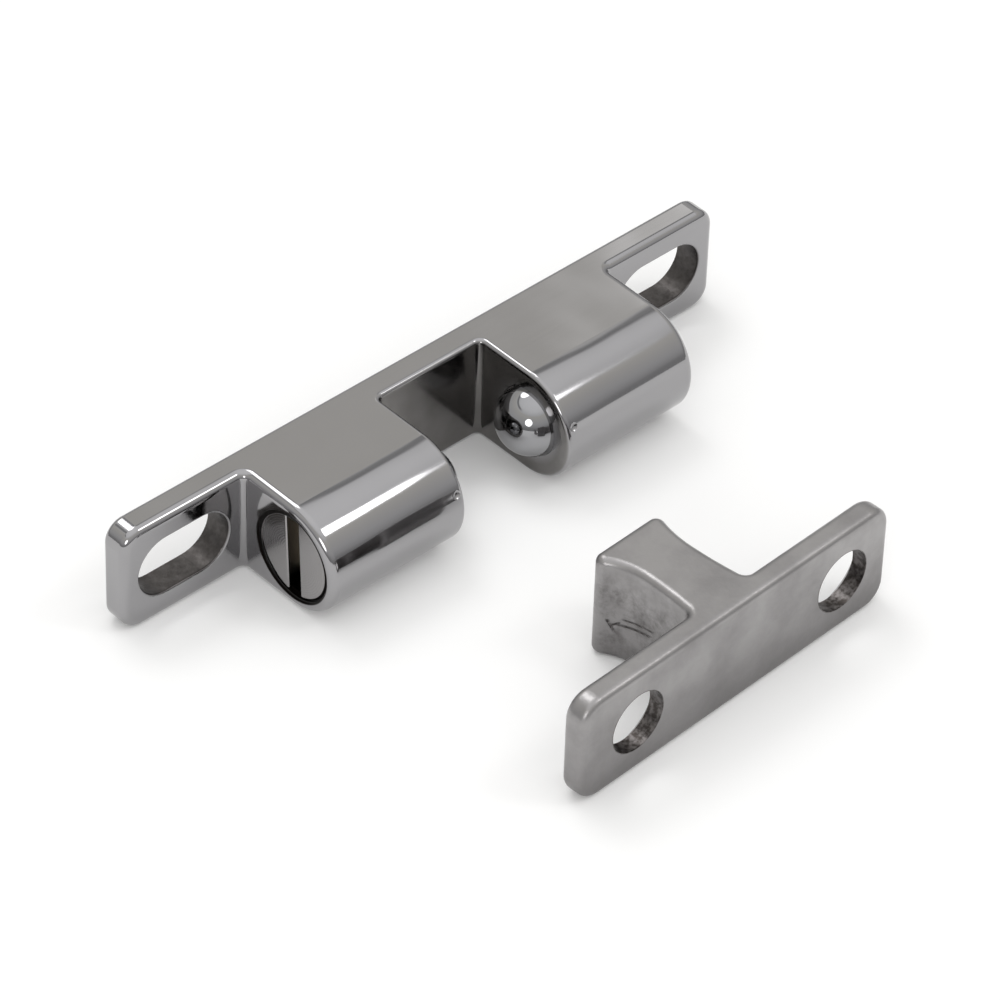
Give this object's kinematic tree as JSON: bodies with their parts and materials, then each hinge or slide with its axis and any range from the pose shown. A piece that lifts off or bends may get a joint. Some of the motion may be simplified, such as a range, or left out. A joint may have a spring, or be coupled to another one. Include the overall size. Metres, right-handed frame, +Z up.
{
  "type": "ball catch",
  "caption": "Double ball catch: a cast body with two sprung balls facing across a gap, slotted adjusting screws, and a tee-shaped strike with a waisted tongue.",
  "frame": {"origin": "middle of the catch body's flat back, the face that is screwed to the cupboard", "axes": "+X along the catch body towards its right end, +Y out of its back, +Z up with the body standing on its long edge; the gap between the balls opens towards -Y, where the strike lies"},
  "size_m": [0.07, 0.044, 0.011],
  "materials": {
    "polished_casting": "polished cast stainless steel",
    "satin_casting": "tumbled cast stainless steel, satin",
    "ball_steel": "ground and mirror polished ball",
    "turned_screw": "turned stainless steel",
    "spring_wire": "drawn spring wire"
  },
  "bodies": {
    "catch_body": {"catch_body": "polished_casting"},
    "strike": {"strike": "satin_casting"},
    "ball_left": {"ball_left": "ball_steel"},
    "spring_left": {"spring_left": "spring_wire"},
    "screw_left": {"screw_left": "turned_screw"},
    "ball_right": {"ball_right": "ball_steel"},
    "spring_right": {"spring_right": "spring_wire"},
    "screw_right": {"screw_right": "turned_screw"}
  },
  "joints": [
    {"name": "ball_left_slide", "type": "slide", "parent": "catch_body", "child": "ball_left", "axis": [-1, 0, 0], "range_m": [0, 0.0026], "stiffness_N_per_m": 2400, "deforming": ["spring_left"]},
    {"name": "screw_left_feed", "type": "slide", "parent": "catch_body", "child": "spring_left", "axis": [1, 0, 0], "range_m": [-0.0015, 0.00075], "deforming": ["spring_left"]},
    {"name": "screw_left_turn", "type": "hinge", "parent": "spring_left", "child": "screw_left", "pos_m": [-0.0213, -0.0091, 0], "axis": [1, 0, 0], "range_deg": [-720, 360]},
    {"name": "ball_right_slide", "type": "slide", "parent": "catch_body", "child": "ball_right", "axis": [1, 0, 0], "range_m": [0, 0.0026], "stiffness_N_per_m": 2400, "deforming": ["spring_right"]},
    {"name": "screw_right_feed", "type": "slide", "parent": "catch_body", "child": "spring_right", "axis": [-1, 0, 0], "range_m": [-0.0015, 0.00075], "deforming": ["spring_right"]},
    {"name": "screw_right_turn", "type": "hinge", "parent": "spring_right", "child": "screw_right", "pos_m": [0.0213, -0.0091, 0], "axis": [-1, 0, 0], "range_deg": [-720, 360]},
    {"name": "strike_approach", "type": "slide", "parent": "catch_body", "child": "strike", "axis": [0.1047, 0.9945, 0], "range_m": [0, 0.0186]}
  ],
  "couplings": [
    {"joint": "screw_left_turn", "follows": "screw_left_feed", "rad_per_m": 8377},
    {"joint": "screw_right_turn", "follows": "screw_right_feed", "rad_per_m": 8377}
  ]
}
